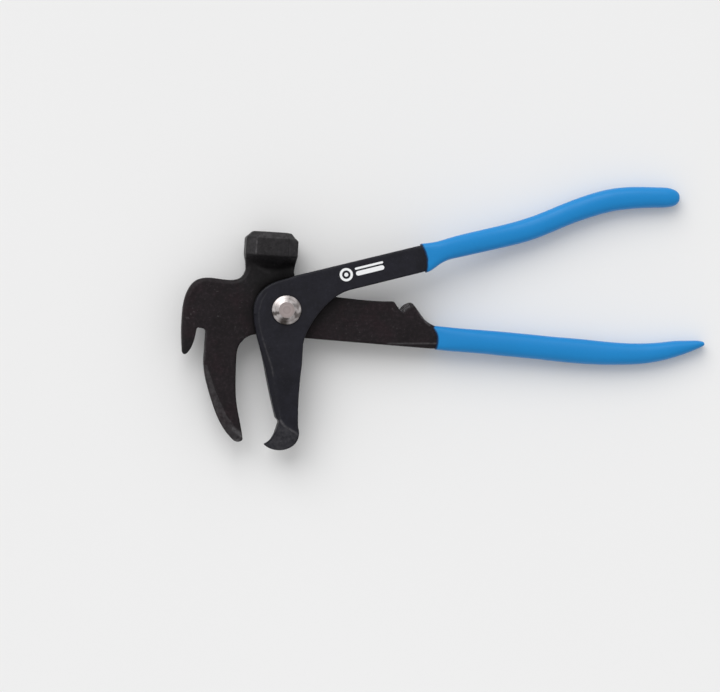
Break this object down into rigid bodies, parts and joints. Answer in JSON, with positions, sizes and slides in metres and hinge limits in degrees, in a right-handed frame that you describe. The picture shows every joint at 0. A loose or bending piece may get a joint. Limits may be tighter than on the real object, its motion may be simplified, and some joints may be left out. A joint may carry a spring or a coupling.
{
  "type": "wheel weight pliers",
  "caption": "Forged pliers for fitting and pulling clip-on wheel balance weights, with a hammer poll, a blunt claw, a clip slot, a hooked jaw and dipped vinyl grips.",
  "frame": {"origin": "centre of the bounding box, with the jaws as they rest, a little open", "axes": "+X towards the ends of the handles, +Y towards the hammer's striking face, +Z out of the lever's side along the pivot"},
  "size_m": [0.2624, 0.143, 0.026],
  "materials": {
    "black_forging": "brown-black scaled and oiled forging, satin",
    "blued_forging": "smooth blue-black satin forging",
    "turned_steel": "bright turned steel",
    "blue_vinyl": "smooth dipped vinyl, satin gloss",
    "white_print": "thin printed mark"
  },
  "bodies": {
    "body": {"hammer_body": "black_forging", "pivot_rivet": "turned_steel", "rivet_washer": "turned_steel", "body_grip": "blue_vinyl"},
    "lever": {"hook_lever": "blued_forging", "lever_grip": "blue_vinyl"}
  },
  "joints": [
    {"name": "jaw_pivot", "type": "hinge", "parent": "body", "child": "lever", "pos_m": [-0.0801, -0.00156, 0], "axis": [0, 0, 1], "range_deg": [-8.8, 20.5]}
  ]
}
